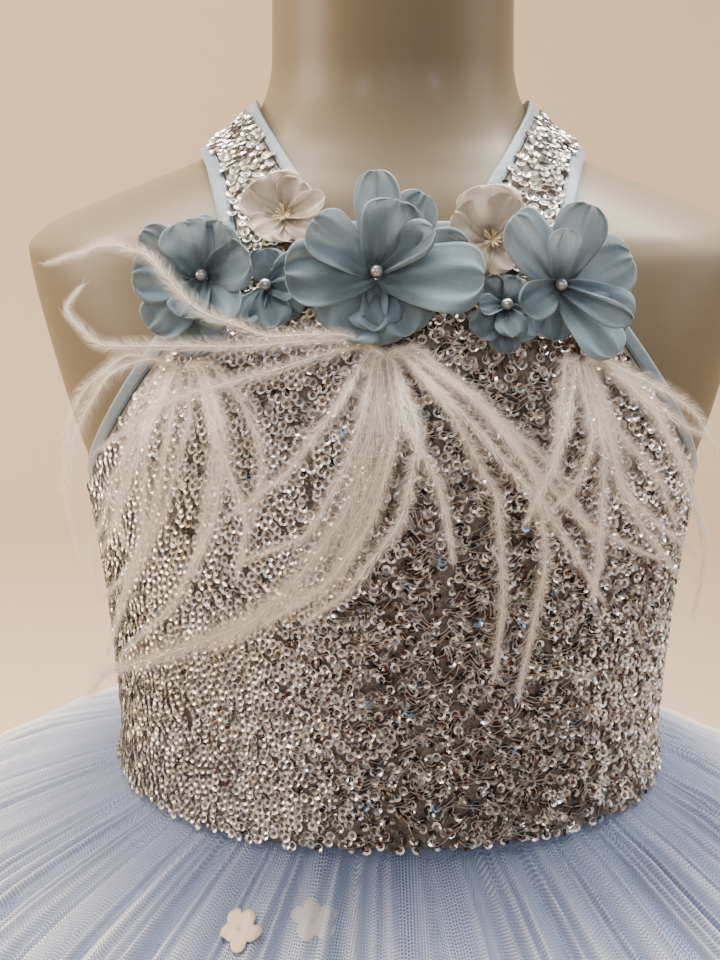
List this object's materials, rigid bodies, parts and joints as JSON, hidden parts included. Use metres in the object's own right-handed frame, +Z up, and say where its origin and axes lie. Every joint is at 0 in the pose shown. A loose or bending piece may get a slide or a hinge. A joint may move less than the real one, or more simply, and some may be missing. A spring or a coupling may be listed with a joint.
{
  "type": "party dress on a limbless dress form",
  "caption": "Girl's party dress with a sequinned bodice, cloth flowers, ostrich fronds and a full tulle skirt, standing on a limbless dress form.",
  "frame": {"origin": "centre of the stand foot's underside, on the floor", "axes": "+Z up the pole to the neck, the dress's front faces -Y, +X is the wearer's left"},
  "size_m": [0.7539, 0.7416, 0.986],
  "materials": {
    "form": "satin champagne glass fibre",
    "stand": "brushed steel",
    "sequins": "silver cup sequins on grey mesh",
    "binding": "pale blue satin",
    "tulle": "pale blue hexagonal net",
    "underskirt": "blue net over satin",
    "blue_petals": "dull dusty blue satin",
    "ivory_petals": "sheer ivory chiffon",
    "pearl": "pearl",
    "fronds": "ivory ostrich feather"
  },
  "bodies": {
    "root": {"dress_form": "form", "stand_pole": "stand", "stand_socket": "stand", "stand_foot": "stand", "bodice_front": "sequins", "bodice_back_left": "sequins", "bodice_back_right": "sequins", "back_zip": "binding", "armhole_binding_left": "binding", "armhole_binding_right": "binding", "neck_binding_left": "binding", "neck_binding_right": "binding", "neck_binding_front": "binding", "skirt_outer_front": "tulle", "skirt_outer_back": "tulle", "skirt_under_front": "underskirt", "skirt_under_back": "underskirt", "flower_large_centre": "blue_petals", "flower_large_right": "blue_petals", "flower_large_left": "blue_petals", "flower_small_right": "blue_petals", "flower_small_left": "blue_petals", "flower_ivory_right": "ivory_petals", "flower_ivory_left": "ivory_petals", "pearl_large_centre": "pearl", "pearl_large_right": "pearl", "pearl_large_left": "pearl", "pearl_small_right": "pearl", "pearl_small_left": "pearl", "fronds_right": "fronds", "fronds_centre": "fronds", "fronds_left": "fronds"}
  },
  "joints": []
}
